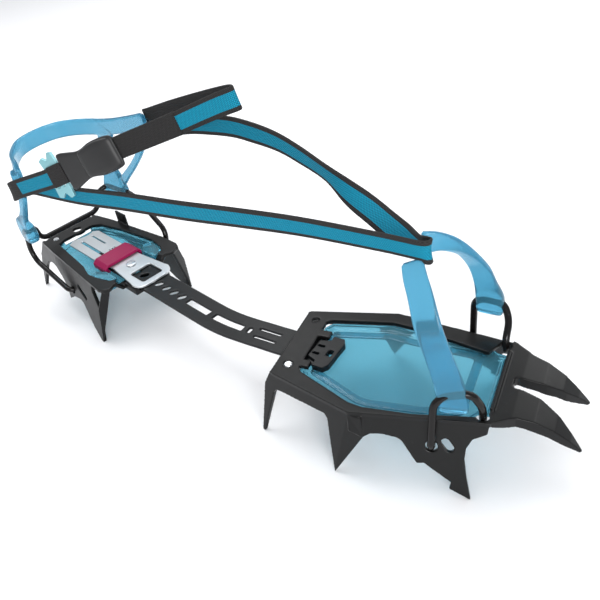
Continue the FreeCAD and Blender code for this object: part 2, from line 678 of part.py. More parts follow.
def rivet(label, placement, spot, head_cell, shank_cell, foot):
    """Domed head on a shank, as two primitives joined; foot is the height of the shank's end."""
    head = doc.addObject("Part::Cone", label + "_head")
    head.setExpression("Radius1", f"dims.{head_cell}")
    head.setExpression("Radius2", f"dims.{head_cell} * 0.72")
    head.Height = 0.9
    shank = doc.addObject("Part::Cylinder", label + "_shank")
    shank.setExpression("Radius", f"dims.{shank_cell}")
    seat = TOP - 0.95 if head_cell == "rivet_radius" else cell("lever_base") + cell("lever_thick")
    shank.Height = seat + 0.4 - foot
    head.Placement = Placement(Vector(*spot, seat), Rotation())
    shank.Placement = Placement(Vector(*spot, foot), Rotation())
    joined = doc.addObject("Part::Fuse", label)
    joined.Label = label
    joined.Base, joined.Tool = head, shank
    joined.Placement = placement
    NODES.append(joined)


# ---------------------------------------------------------------- harness, in the row frame

STRAP = cell("strap_thick")


def strap_half(lean_x=0.0, lean_y=0.0):
    """Half the webbing's width, upright unless it leans."""
    half = Vector(lean_x, lean_y, 1).normalize() * (cell("strap_width") / 2)
    return tuple(half)


def from_heel(point):
    """Heel frame point in the row frame before the row's shift."""
    return HEEL.multVec(Vector(*point)) - SHIFT


def near_webbing():
    """Fold at the toe, run to the heel cradle's near arm, round it and forward to the buckle."""
    toe = [
        ((76, 0.7, 118.1), strap_half()), ((83.6, 0.8, 117.9), strap_half()),
        ((86.2, 2.6, 117.6), strap_half()), ((85.4, 4.8, 117.2), strap_half()),
        ((82.8, 6.3, 116.8), strap_half()),
    ]
    run = [
        ((78, 0.7, 118.1), strap_half()), ((60, 1.2, 118), strap_half()),
        ((19, 2, 117), strap_half()), ((-47, 2.2, 112.4), strap_half()),
        ((-110, 3.6, 107.0), strap_half()), ((-160, 6.2, 100.6), strap_half()),
        (tuple(from_heel((34, -23.2, 98.2))), strap_half(-0.1)),
        (tuple(from_heel((19.4, -24.8, 96.4))), strap_half(0.08)),
    ]
    lean = strap_half(0.12)
    turn = [
        (tuple(from_heel((19.4, -24.8, 96.4))), strap_half(0.08)),
        (tuple(from_heel((17.2, -26.2, 95.9))), lean),
        (tuple(from_heel((15.2, -29.4, 95.6))), lean), (tuple(from_heel((15.4, -33.2, 95.7))), lean),
        (tuple(from_heel((18.4, -35.9, 96.4))), lean),
        (tuple(from_heel((36, -34.4, 102))), strap_half(-0.16)),
        (tuple(from_heel((56, -28.2, 109))), strap_half(-0.22)),
        (tuple(from_heel((67.6, -23.6, 112.9))), strap_half(-0.25)),
    ]
    return fused([ribbon(strand, STRAP) for strand in (toe, run, turn)])


def far_webbing():
    """Toe fold, with one twist, to the heel cradle's far ear."""
    wide = cell("strap_width") / 2
    run = [
        ((81.2, 7.4, 116.5), (0, 0.1 * wide, wide)), ((76, 11, 114.8), (0, 0.2 * wide, wide)),
        ((66, 19, 112), (0, wide * 0.55, wide * 0.84)), ((54, 24, 114.4), (0, wide * 0.7, wide * 0.7)),
        ((42.5, 28, 118), (0, wide * 0.7, wide * 0.7)),
        ((28, 32, 123), (0, wide * 0.3, wide * 0.95)), ((12, 37, 129), (0, -wide * 0.2, wide * 0.97)),
        ((-22.5, 45, 137.6), (0, -wide * 0.1, wide)), ((-62, 52.5, 138.2), (0, 0, wide)),
        ((-95, 57.8, 133.4), (0, 0, wide)), ((-116, 60.2, 128.8), (0, 0, wide)),
    ]
    return ribbon(run, STRAP)


def ankle_webbing():
    """Far ear forward to the fold, then back across the ankle to the pull tab."""
    lean = strap_half(-0.35)
    out = [
        ((96, 42.6, 133), strap_half(-0.3)), ((125, 41.6, 143.2), strap_half(-0.35)),
        ((160, 40, 154.8), lean), ((188, 37.8, 163.6), lean),
        ((195.4, 36.6, 165.6), lean), ((198, 34.6, 166), lean), ((197.6, 33, 165.7), lean),
    ]
    back = [
        ((198.2, 34.4, 166), lean), ((196.6, 32.2, 165.3), lean), ((190, 29.2, 162.8), lean),
        ((176, 24.4, 157.2), lean), ((163.4, 19.8, 151.8), lean),
    ]
    strands = [[(tuple(from_heel(point)), half) for point, half in run] for run in (out, back)]
    return fused([ribbon(run, STRAP) for run in strands])


def webbing_end():
    """Stiff sewn end that joins the ankle strap to the pull tab."""
    lean = strap_half(-0.35)
    run = [((162.9, 19.6, 151.6), lean), ((144, 11.6, 144.2), lean), ((126.4, 3.6, 137.4), lean)]
    return ribbon([(tuple(from_heel(point)), half) for point, half in run], STRAP)


def along_placement(origin, ahead, upright):
    """Placement whose local X runs ahead and whose local Y is upright in the strap's face."""
    x_axis = Vector(*ahead).normalize()
    y_axis = Vector(*upright)
    y_axis = (y_axis - x_axis * y_axis.dot(x_axis)).normalize()
    z_axis = x_axis.cross(y_axis)
    matrix = FreeCAD.Matrix(
        x_axis.x, y_axis.x, z_axis.x, 0,
        x_axis.y, y_axis.y, z_axis.y, 0,
        x_axis.z, y_axis.z, z_axis.z, 0,
        0, 0, 0, 1,
    )
    return HEEL.multiply(Placement(Vector(*origin), Placement(matrix).Rotation))


BUCKLE_CENTRE = (76.1, -20.1, 115.9)
TAB_AHEAD = (0.846, 0.385, 0.350)
TAB_UP = (-0.3, 0, 1)


def buckle():
    """Flat plate with notched ends across the strap, and a slot each side of its bar."""
    body = new_body("buckle", along_placement(BUCKLE_CENTRE, TAB_AHEAD, TAB_UP))
    near_end = [(-7, -12.2), (-4, -13.6), (-0.4, -10.8), (2.6, -15.2), (5.6, -14.6), (6.4, -8.5), (5.4, 0)]
    far_end = [(x, -y) for x, y in reversed(near_end[:-1])]
    slots = [rounded(-3.8, -1.2, -6.9, 6.9, 0.8), rounded(1.2, 3.8, -6.9, 6.9, 0.8)]
    pad(body, "XY_Plane", [near_end + far_end + [(-5.6, 0)]] + slots, "dims.buckle_thick")


def strap_loop():
    """Sewn end of the returning strap, which covers the buckle's middle."""
    body = new_body("strap_loop", along_placement(BUCKLE_CENTRE, TAB_AHEAD, TAB_UP))
    sleeve = rounded(-9.4, 8.2, -6.9, 6.9, 0.6)
    pad(body, "XY_Plane", [sleeve], "dims.strap_thick", "dims.buckle_thick + dims.gap")


def pull_tab():
    """Flared grip with a raised middle; the ankle strap is sewn to its narrow end."""
    body = new_body("pull_tab", along_placement(BUCKLE_CENTRE, TAB_AHEAD, TAB_UP))
    low = [(9.0, -11.3), (12, -11.6), (26, -8.6), (29, -8.8), (39, -10.4), (47, -10.4), (56, -7)]
    grip_low = [(28.6, -7.4), (39, -8.9), (46.6, -8.9), (53.6, -6.2)]
    for edge, length in ((low, "dims.tab_thick"), (grip_low, "dims.tab_grip")):
        mirrored = [(x, -y) for x, y in reversed(edge)]
        pad(body, "XY_Plane", [edge + mirrored], length)


# ---------------------------------------------------------------- assembly

node("front_frame", front_frame(), FRONT)
node("front_panel", front_panel(), FRONT)
rivet("front_panel_rivet", FRONT, (7, -18.5), "rivet_radius", "rivet_shank", 38.0)
link_bar()
for name in ("near", "far"):
    node(f"toe_wire_{name}", rod(TOE_ROUTES[name], WIRE), FRONT)
    node(f"toe_cradle_{name}", toe_cradle(name), FRONT)
node("heel_frame", heel_frame(), HEEL)
node("heel_panel", heel_panel(), HEEL)
rivet("heel_panel_rivet", HEEL, (7, -13.8), "rivet_radius", "rivet_shank", 38.0)
bar_guide()
adjuster_plate()
rivet("lock_stud", HEEL, STUD, "stud_radius", "stud_shank", cell("lever_base") + 0.05)
lock_slider()
node("heel_bail", rod(bail_route(), WIRE), HEEL)
node("heel_cradle", heel_cradle(), HEEL)
node("near_webbing", near_webbing(), ROW)
node("far_webbing", far_webbing(), ROW)
node("ankle_webbing", ankle_webbing(), ROW)
node("webbing_end", webbing_end(), ROW)
buckle()
pull_tab()
strap_loop()

doc.recompute()

box = FreeCAD.BoundBox()
for item in doc.Objects:
    if set(item.State) & {"Invalid", "Error"}:
        raise RuntimeError(f"{item.Label} failed: {item.State}")
for item in NODES:
    if item.Shape.isNull() or not item.Shape.isValid():
        raise RuntimeError(f"{item.Label} has no valid shape")
    box.add(item.Shape.BoundBox)
    print(item.Label, len(item.Shape.Solids), round(item.Shape.Volume))
    item.Shape.exportStep(f"parts/{item.Label}.step")
print("middle", round(box.Center.x, 1), round(box.Center.y, 1), "low", round(box.ZMin, 2))
print("size", round(box.XLength, 1), round(box.YLength, 1), round(box.ZLength, 1))

for label, (rear, front) in SIDES_FRONT.items():
    hole = FRONT.multVec(front.at(*TOE_HOLE, PRESSED / 2))
    notch = FRONT.multVec(Vector(*NOTCHES[label], TOP - PRESSED / 2))
    print("toe hinge", label, hole, notch)
for label, (rear, front) in SIDES_HEEL.items():
    print("bail hinge", label, HEEL.multVec(front.at(*BAIL_HOLES[label], PRESSED / 2)))
print("adjuster hinge", HEEL.multVec(Vector(22, 0, cell("lever_base"))))
print("heel axis", heading(cell("heel_yaw")), "heel across", heading(cell("heel_yaw") + 90))
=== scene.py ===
import json
import math

import bpy
from mathutils import Matrix, Vector


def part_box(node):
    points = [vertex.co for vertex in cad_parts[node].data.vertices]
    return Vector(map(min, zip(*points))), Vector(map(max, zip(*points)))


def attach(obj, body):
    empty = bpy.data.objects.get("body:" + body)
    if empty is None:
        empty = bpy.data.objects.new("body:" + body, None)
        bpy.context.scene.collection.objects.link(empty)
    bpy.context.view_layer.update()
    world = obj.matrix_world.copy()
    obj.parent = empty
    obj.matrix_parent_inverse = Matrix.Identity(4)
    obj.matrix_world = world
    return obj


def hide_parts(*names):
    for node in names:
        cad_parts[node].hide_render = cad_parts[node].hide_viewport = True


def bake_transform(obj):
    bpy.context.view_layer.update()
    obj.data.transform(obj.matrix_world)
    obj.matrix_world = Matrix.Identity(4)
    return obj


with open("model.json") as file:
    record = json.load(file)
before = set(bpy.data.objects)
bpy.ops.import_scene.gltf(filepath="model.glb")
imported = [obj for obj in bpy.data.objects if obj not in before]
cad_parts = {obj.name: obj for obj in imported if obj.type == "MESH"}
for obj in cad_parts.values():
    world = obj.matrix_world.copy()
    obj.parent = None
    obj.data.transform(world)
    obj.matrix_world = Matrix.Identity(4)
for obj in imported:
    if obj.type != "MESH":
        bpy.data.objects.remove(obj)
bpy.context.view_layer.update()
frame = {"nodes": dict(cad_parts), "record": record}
nodes = frame["nodes"]
record = frame["record"]
joints = {joint["name"]: joint for joint in record["behaviour"]["joints"]}
mounts = {mount["name"]: mount for mount in record["mounts"]}
MM = 0.001
UP = Vector((0, 0, 1))


# ---------------------------------------------------------------- local frames, in millimetres


class Local:
    """A frame on the ground, turned about Z, whose points are given in millimetres."""

    def __init__(self, origin, ahead):
        self.origin = Vector((origin.x, origin.y, 0))
        self.ahead = Vector((ahead[0], ahead[1], 0)).normalized()
        self.aside = UP.cross(self.ahead)

    def __call__(self, x, y, z):
        return self.origin + (self.ahead * x + self.aside * y + UP * z) * MM

    def turn(self, x, y, z):
        return self.ahead * x + self.aside * y + UP * z


FRONT_TURN = math.radians(9)
ahead_front = Vector((math.cos(FRONT_TURN), math.sin(FRONT_TURN), 0))
# places of the sole mount and the adjuster's hinge in their own sections, in mm
SOLE_REST_AHEAD, SOLE_REST_ASIDE = 6, 1
ADJUSTER_AHEAD = 22
sole_rest = Vector(mounts["front_sole_rest"]["pos_m"])
sole_offset = ahead_front * SOLE_REST_AHEAD + UP.cross(ahead_front) * SOLE_REST_ASIDE
front_origin = sole_rest - sole_offset * MM
front = Local(front_origin, ahead_front)
row = Local(front_origin, (1, 0))
ahead_heel = Vector(joints["length_setting"]["axis"])
heel = Local(Vector(joints["adjuster_lift"]["pos_m"]) - ahead_heel * ADJUSTER_AHEAD * MM, ahead_heel)


# ---------------------------------------------------------------- materials


# the mix node has a socket of each name for every data type; these are the colour ones
MIX_COLOUR_A, MIX_COLOUR_B, MIX_COLOUR_OUT = 6, 7, 2
GRAIN_DEPTH = 0.00004
WEAVE_DEPTH = 0.00022
# the webbing's cyan, and a darker cyan that is painted shade in the weave's valleys
CYAN, CYAN_SHADED = (0.003, 0.29, 0.44), (0.001, 0.09, 0.15)
EDGE_DARK = (0.009, 0.0085, 0.0085)
STRIPE_REACH = 0.31
RIBS_ACROSS = 9
PICKS_PER_MM = 0.95
BEFORE_START, PAST_END = -1, 9999


def new_material(name):
    material = bpy.data.materials.new(name)
    material.use_nodes = True
    tree = material.node_tree
    return material, tree, tree.nodes["Principled BSDF"]


def add_node(tree, kind, **values):
    made = tree.nodes.new(kind)
    for key, value in values.items():
        if key in made.inputs:
            made.inputs[key].default_value = value
        else:
            setattr(made, key, value)
    return made


def noise(tree, scale, detail=3.0, stretch=(1, 1, 1), roughness=0.5):
    """Noise in object space."""
    where = add_node(tree, "ShaderNodeTexCoord")
    mapping = add_node(tree, "ShaderNodeMapping")
    mapping.inputs["Scale"].default_value = stretch
    texture = add_node(tree, "ShaderNodeTexNoise", Scale=scale, Detail=detail, Roughness=roughness)
    tree.links.new(where.outputs["Object"], mapping.inputs["Vector"])
    tree.links.new(mapping.outputs["Vector"], texture.inputs["Vector"])
    return texture.outputs["Fac"]


def span(tree, source, low, high, start=0.0, end=1.0):
    """Map a factor from start-end to low-high."""
    made = add_node(tree, "ShaderNodeMapRange")
    made.inputs["From Min"].default_value = start
    made.inputs["From Max"].default_value = end
    made.inputs["To Min"].default_value = low
    made.inputs["To Max"].default_value = high
    tree.links.new(source, made.inputs["Value"])
    return made.outputs["Result"]


def mix(tree, factor, a, b):
    """Colour mix of two colours or sockets."""
    made = add_node(tree, "ShaderNodeMix", data_type="RGBA")
    tree.links.new(factor, made.inputs["Factor"])
    for socket, value in ((MIX_COLOUR_A, a), (MIX_COLOUR_B, b)):
        if isinstance(value, tuple):
            made.inputs[socket].default_value = (*value, 1)
        else:
            tree.links.new(value, made.inputs[socket])
    return made.outputs[MIX_COLOUR_OUT]


def bump(tree, shader, height, strength, distance):
    made = add_node(tree, "ShaderNodeBump", Strength=strength, Distance=distance)
    tree.links.new(height, made.inputs["Height"])
    tree.links.new(made.outputs["Normal"], shader.inputs["Normal"])


def finish(name, colour, other, metallic, rough, grain, shine=0.5):
    """Painted, plated or moulded surface: patchy colour, uneven gloss and a fine grain."""
    patch, grain_scale = 60, 900
    material, tree, shader = new_material(name)
    shader.inputs["Metallic"].default_value = metallic
    shader.inputs["Specular IOR Level"].default_value = shine
    tree.links.new(mix(tree, noise(tree, patch, 4), colour, other), shader.inputs["Base Color"])
    gloss = span(tree, noise(tree, patch * 2.3, 5), rough - 0.07, rough + 0.09)
    tree.links.new(gloss, shader.inputs["Roughness"])
    bump(tree, shader, noise(tree, grain_scale, 2), grain, GRAIN_DEPTH)
    return material


def worn_steel(name, colour, other, bare, rough, amount):
    """Coated steel whose coat is rubbed thin in small scuffs."""
    material, tree, shader = new_material(name)
    base = mix(tree, noise(tree, 55, 4), colour, other)
    scuffs = span(tree, noise(tree, 420, 6, (1, 1, 0.35), 0.7), 0, amount, 0.62, 0.74)
    tree.links.new(mix(tree, scuffs, base, bare), shader.inputs["Base Color"])
    tree.links.new(span(tree, noise(tree, 160, 5), rough - 0.06, rough + 0.1), shader.inputs["Roughness"])
    shader.inputs["Specular IOR Level"].default_value = 0.24
    bump(tree, shader, noise(tree, 1500, 3), 0.25, GRAIN_DEPTH)
    return material


def translucent(name, colour, other, through, rough):
    """Clear tinted moulding."""
    material, tree, shader = new_material(name)
    tree.links.new(mix(tree, noise(tree, 35, 3), colour, other), shader.inputs["Base Color"])
    tree.links.new(span(tree, noise(tree, 90, 4), rough - 0.04, rough + 0.05), shader.inputs["Roughness"])
    shader.inputs["Transmission Weight"].default_value = through
    shader.inputs["IOR"].default_value = 1.3
    return material


def woven(name, start, stop):
    """Ribbed webbing: dark edges and, from start to stop in mm along it, a coloured middle; the weave's
    colour is painted shade in its valleys and painted highlight on its raised threads.
    """
    material, tree, shader = new_material(name)
    place = add_node(tree, "ShaderNodeUVMap", uv_map="strap")
    parts = add_node(tree, "ShaderNodeSeparateXYZ")
    tree.links.new(place.outputs["UV"], parts.inputs["Vector"])
    along, across = parts.outputs["X"], parts.outputs["Y"]

    def maths(operation, a, b):
        made = add_node(tree, "ShaderNodeMath", operation=operation)
        for socket, value in zip(made.inputs, (a, b)):
            if isinstance(value, (int, float)):
                socket.default_value = value
            else:
                tree.links.new(value, socket)
        return made.outputs["Value"]

    offset = maths("ABSOLUTE", maths("SUBTRACT", across, 0.5), 0)
    middle = maths("LESS_THAN", offset, STRIPE_REACH)
    within = maths("MULTIPLY", maths("GREATER_THAN", along, start), maths("LESS_THAN", along, stop))
    inlay = maths("MULTIPLY", middle, within)
    ribs = maths("SINE", maths("MULTIPLY", across, 2 * math.pi * RIBS_ACROSS), 0)
    picks = maths("SINE", maths("MULTIPLY", along, 2 * math.pi * PICKS_PER_MM), 0)
    weave = maths("MULTIPLY", ribs, picks)
    # painted shade and highlight: the weave's colour follows its bump, darker in the valleys between ribs
    # and picks and lighter on the raised threads, for the cyan middle and the dark edges alike
    shade = span(tree, weave, 0.0, 1.0, -0.7, 0.9)
    coloured = mix(tree, shade, CYAN_SHADED, CYAN)
    plain = mix(tree, shade, EDGE_DARK, tuple(c * 2.8 + 0.006 for c in EDGE_DARK))
    tree.links.new(mix(tree, inlay, plain, coloured), shader.inputs["Base Color"])
    shader.inputs["Roughness"].default_value = 0.72
    shader.inputs["Specular IOR Level"].default_value = 0.2
    bump(tree, shader, maths("ADD", weave, maths("MULTIPLY", ribs, 0.8)), 0.6, WEAVE_DEPTH)
    return material


steel_frame = worn_steel(
    "frame_steel", (0.0022, 0.0022, 0.0024), (0.0045, 0.0048, 0.0048), (0.03, 0.031, 0.031), 0.3, 0.3,
)
steel_bar = worn_steel(
    "bar_steel", (0.003, 0.0035, 0.004), (0.006, 0.007, 0.008), (0.04, 0.045, 0.048), 0.3, 0.3,
)
steel_wire = worn_steel(
    "wire_steel", (0.003, 0.0025, 0.0025), (0.006, 0.005, 0.005), (0.05, 0.05, 0.05), 0.2, 0.35,
)
steel_bare = finish("bare_steel", (0.48, 0.51, 0.53), (0.56, 0.59, 0.61), 0.8, 0.36, 0.35)
steel_rivet = finish("rivet_steel", (0.55, 0.57, 0.59), (0.66, 0.67, 0.69), 0.9, 0.26, 0.2)
blue_panel = translucent("blue_panel", (0.12, 0.43, 0.56), (0.17, 0.49, 0.62), 0.8, 0.1)
blue_cradle = translucent("blue_cradle", (0.085, 0.36, 0.54), (0.13, 0.43, 0.61), 0.74, 0.13)
magenta = finish("magenta_plastic", (0.21, 0.001, 0.045), (0.26, 0.003, 0.06), 0.0, 0.4, 0.3, 0.28)
anodised = finish("anodised_alloy", (0.19, 0.42, 0.46), (0.27, 0.51, 0.55), 0.5, 0.34, 0.25)
grip = finish("grip_plastic", (0.012, 0.012, 0.0125), (0.018, 0.018, 0.0185), 0.0, 0.42, 0.4, 0.34)
web_strap = woven("webbing_strap", BEFORE_START, PAST_END)
web_return = woven("webbing_return", 32, PAST_END)
# painted shade: the ankle strap's first 113 mm, its far strand, is left without the cyan middle, dark to
# stand for the shade on that strand's inner face
web_ankle = woven("webbing_ankle", 113, PAST_END)
web_black = woven("webbing_sewn", PAST_END, PAST_END)


# ---------------------------------------------------------------- shapes


def smooth_shaded(thing):
    thing.data.polygons.foreach_set("use_smooth", [True] * len(thing.data.polygons))
    return thing


def dress(thing, material, body, node):
    """Give a piece its material and body, and hide the node it stands for."""
    thing.data.materials.clear()
    thing.data.materials.append(material)
    if body:
        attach(thing, body)
    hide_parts(node)
    return thing


def baked(thing):
    """The piece with its modifiers made part of its mesh."""
    bpy.context.view_layer.update()
    graph = bpy.context.evaluated_depsgraph_get()
    made = bpy.data.meshes.new_from_object(thing.evaluated_get(graph))
    thing.modifiers.clear()
    thing.data = made
    return smooth_shaded(thing)


def eased(thing, voxel, passes, ratio):
    """The piece remeshed at a voxel size in mm, smoothed, and thinned to a share of its faces."""
    remesh = thing.modifiers.new("remesh", "REMESH")
    remesh.mode = "VOXEL"
    remesh.voxel_size = voxel * MM
    ease = thing.modifiers.new("ease", "SMOOTH")
    ease.factor = 0.5
    ease.iterations = passes
    thin = thing.modifiers.new("thin", "DECIMATE")
    thin.ratio = ratio
    return baked(thing)


def softened(node, name, voxel, passes, ratio):
    """The node's solid with its edges eased."""
    thing = bpy.data.objects.new(name, nodes[node].data.copy())
    thing.matrix_world = nodes[node].matrix_world.copy()
    bpy.context.scene.collection.objects.link(thing)
    return eased(thing, voxel, passes, ratio)


def spline(points, steps):
    """Catmull-Rom curve through a list of vectors."""
    ends = [points[0] * 2 - points[1]] + list(points) + [points[-1] * 2 - points[-2]]
    out = []
    for p0, p1, p2, p3 in zip(ends, ends[1:], ends[2:], ends[3:]):
        for k in range(steps):
            t = k / steps
            out.append(
                ((p1 * 2) + (p2 - p0) * t + (p0 * 2 - p1 * 5 + p2 * 4 - p3) * t * t
                 + (p1 * 3 - p0 - p2 * 3 + p3) * t ** 3) * 0.5
            )
    out.append(points[-1].copy())
    return out


def mesh_object(name, verts, faces):
    mesh = bpy.data.meshes.new(name)
    mesh.from_pydata([tuple(v) for v in verts], [], faces)
    mesh.validate()
    mesh.update()
    thing = bpy.data.objects.new(name, mesh)
    bpy.context.scene.collection.objects.link(thing)
    return thing


# the rounding of a strap's edges, as a share of its thickness
EDGE_ROUNDING = 0.35


def band(name, stations, width, thick, steps=6, part=None):
    """Flat strap through stations of (centre, direction across), with UVs in mm along and 0-1 across.

    With part, only the length between those two stations is made.
    """
    centres = spline([Vector(c) for c, _ in stations], steps)
    sides = spline([Vector(h) for _, h in stations], steps)
    half, deep = width * MM / 2, thick * MM / 2
    bevel = EDGE_ROUNDING * thick * MM
    ring = [
        (-half, deep * 0.45), (-half + bevel, deep), (-half * 0.62, deep), (-half * 0.3, deep),
        (half * 0.3, deep), (half * 0.62, deep), (half - bevel, deep), (half, deep * 0.45),
        (half, -deep * 0.45), (half - bevel, -deep),
        (half * 0.62, -deep), (half * 0.3, -deep), (-half * 0.3, -deep), (-half * 0.62, -deep),
        (-half + bevel, -deep), (-half, -deep * 0.45),
    ]
    verts, lengths, run = [], [], 0.0
    count = len(centres)
    for i, centre in enumerate(centres):
        tangent = centres[min(i + 1, count - 1)] - centres[max(i - 1, 0)]
        across = sides[i] - tangent * (sides[i].dot(tangent) / tangent.length_squared)
        across.normalize()
        normal = tangent.cross(across).normalized()
        if i:
            run += (centre - centres[i - 1]).length / MM
        lengths.append(run)
        verts += [centre + across * a + normal * n for a, n in ring]
    size = len(ring)
    first, last = [station * steps for station in part or (0, len(stations) - 1)]
    verts, lengths = verts[first * size:(last + 1) * size], lengths[first:last + 1]
    count = len(lengths)
    faces = []
    for i in range(count - 1):
        for k in range(size):
            j = (k + 1) % size
            faces.append((i * size + k, i * size + j, (i + 1) * size + j, (i + 1) * size + k))
    if first == 0:
        faces.append(tuple(range(size - 1, -1, -1)))
    if last == len(stations) - 1:
        faces.append(tuple(range((count - 1) * size, count * size)))
    thing = mesh_object(name, verts, faces)
    layer = thing.data.uv_layers.new(name="strap")
    for loop in thing.data.loops:
        i, k = divmod(loop.vertex_index, size)
        layer.data[loop.index].uv = (lengths[i], 0.5 + ring[k][0] / (2 * half))
    return smooth_shaded(thing)


def moulded(name, local, stations, steps=6, ends=True):
    """Soft-edged bar through stations of (centre, half width vector, half thickness), in mm."""
    centres = spline([Vector(c) for c, _, _ in stations], steps)
    sides = spline([Vector(h) for _, h, _ in stations], steps)
    depths = spline([Vector((d, 0, 0)) for _, _, d in stations], steps)
    ring_size, verts = 20, []
    count = len(centres)
    for i, centre in enumerate(centres):
        tangent = centres[min(i + 1, count - 1)] - centres[max(i - 1, 0)]
        across = sides[i] - tangent * (sides[i].dot(tangent) / tangent.length_squared)
        across = across.normalized() * sides[i].length
        normal = tangent.cross(across).normalized() * depths[i].x
        shrink = 0.8 if ends and i in (0, count - 1) else 1.0
        for k in range(ring_size):
            angle = 2 * math.pi * k / ring_size
            c, s = math.cos(angle), math.sin(angle)
            u = math.copysign(abs(c) ** 0.35, c) * shrink
            v = math.copysign(abs(s) ** 0.55, s) * shrink
            point = centre + across * u + normal * v
            verts.append(local(*point))
    faces = []
    for i in range(count - 1):
        for k in range(ring_size):
            j = (k + 1) % ring_size
            a, b = i * ring_size, (i + 1) * ring_size
            faces.append((a + k, a + j, b + j, b + k))
    faces += [tuple(range(ring_size - 1, -1, -1)), tuple(range((count - 1) * ring_size, count * ring_size))]
    return smooth_shaded(mesh_object(name, verts, faces))


def melted(name, parts, voxel, passes, ratio):
    """Several overlapping shapes as one moulding."""
    bpy.ops.object.select_all(action="DESELECT")
    for part in parts:
        part.select_set(True)
    bpy.context.view_layer.objects.active = parts[0]
    bpy.ops.object.join()
    thing = bpy.context.view_layer.objects.active
    thing.name = name
    return eased(thing, voxel, passes, ratio)


def inset(outline, amount):
    """Polygon with every side moved inwards by amount; the outline runs anticlockwise."""
    count = len(outline)
    lines = []
    for i in range(count):
        (x0, y0), (x1, y1) = outline[i], outline[(i + 1) % count]
        size = math.hypot(x1 - x0, y1 - y0)
        nx, ny = -(y1 - y0) / size, (x1 - x0) / size
        lines.append((nx, ny, nx * x0 + ny * y0 + amount))
    out = []
    for i in range(count):
        (a, b, c), (d, e, f) = lines[i - 1], lines[i]
        det = a * e - b * d
        out.append(((c * e - b * f) / det, (a * f - c * d) / det))
    return out


def tray(name, local, outline, rings, thick):
    """Dished panel: rings of (inset, height) from the rim to the floor."""
    count = len(outline)
    verts, faces = [], []
    for amount, height in rings:
        verts += [local(x, y, height) for x, y in inset(outline, amount)]
    for i in range(len(rings) - 1):
        for k in range(count):
            j = (k + 1) % count
            faces.append((i * count + k, i * count + j, (i + 1) * count + j, (i + 1) * count + k))
    faces.append(tuple(range((len(rings) - 1) * count, len(rings) * count)))
    thing = mesh_object(name, verts, faces)
    shell = thing.modifiers.new("shell", "SOLIDIFY")
    shell.thickness = thick * MM
    shell.offset = -1
    edge = thing.modifiers.new("edge", "BEVEL")
    edge.width = 0.55 * MM
    edge.segments = 3
    edge.limit_method = "ANGLE"
    edge.angle_limit = math.radians(8)
    return baked(thing)


def lean(local, x, y, z=1.0):
    return local.turn(x, y, z).normalized()


# ---------------------------------------------------------------- hard parts

# node: body, material, slot, voxel size in mm, smoothing passes, share of the faces kept
SOFTENED = {
    "front_frame": ("front_section", steel_frame, "frame_steel", 0.38, 4, 0.35),
    "link_bar": ("front_section", steel_bar, "bar_steel", 0.32, 3, 0.4),
    "toe_wire_near": ("near_toe_wire", steel_wire, "wire_steel", 0.3, 3, 0.6),
    "toe_wire_far": ("far_toe_wire", steel_wire, "wire_steel", 0.3, 3, 0.6),
    "heel_frame": ("heel_section", steel_frame, "frame_steel", 0.38, 4, 0.35),
    "heel_panel": ("heel_section", blue_panel, "blue_plastic", 0.42, 5, 0.4),
    "bar_guide": ("heel_section", steel_frame, "frame_steel", 0.3, 4, 0.5),
    "adjuster_plate": ("adjuster", steel_bare, "bare_steel", 0.26, 2, 0.4),
    "lock_slider": ("slider", magenta, "magenta_plastic", 0.3, 2, 0.5),
    "heel_bail": ("heel_harness", steel_wire, "wire_steel", 0.32, 3, 0.5),
    "buckle": ("heel_harness", anodised, "anodised_alloy", 0.25, 4, 0.5),
}
for node, (body, material, slot_name, voxel, passes, ratio) in SOFTENED.items():
    thing = softened(node, node + "_eased", voxel, passes, ratio)
    dress(thing, material, body, node)

PANEL = [
    (14.5, -18), (17, -21.5), (48, -35.2), (56, -36.2), (80, -33.6), (103.5, -28.6), (108.2, -21.8),
    (113.7, -21), (113.7, 19.4), (108.2, 20.2), (103.5, 24), (62, 26.6), (50, 27.6), (17, 21), (14.5, 17.5),
]
panel = tray("front_panel_tray", front, PANEL, [
    (-1.4, 39.0), (-0.4, 39.6), (0.8, 39.5), (1.6, 38.4), (2.6, 38.1), (2.9, 37.7),
], 1.3)
dress(panel, blue_panel, "front_section", "front_panel")

RIDGE = inset(PANEL[:5] + [(103.5, -28.6), (107, -23), (107, 21), (103.5, 24)] + PANEL[11:], 6.5)
ridge_points = []
for (x0, y0), (x1, y1) in zip(RIDGE, RIDGE[1:] + RIDGE[:1]):
    ridge_points += [(x0 + (x1 - x0) * t, y0 + (y1 - y0) * t) for t in (0.06, 0.5, 0.94)]
ridge_points.append(ridge_points[0])
ridge_stations = [((x, y, 37.5), (0, 0, 0.6), 2.3) for x, y in ridge_points]
ridge = moulded("front_panel_ridge", front, ridge_stations, 3, False)
dress(ridge, blue_panel, "front_section", "front_panel")

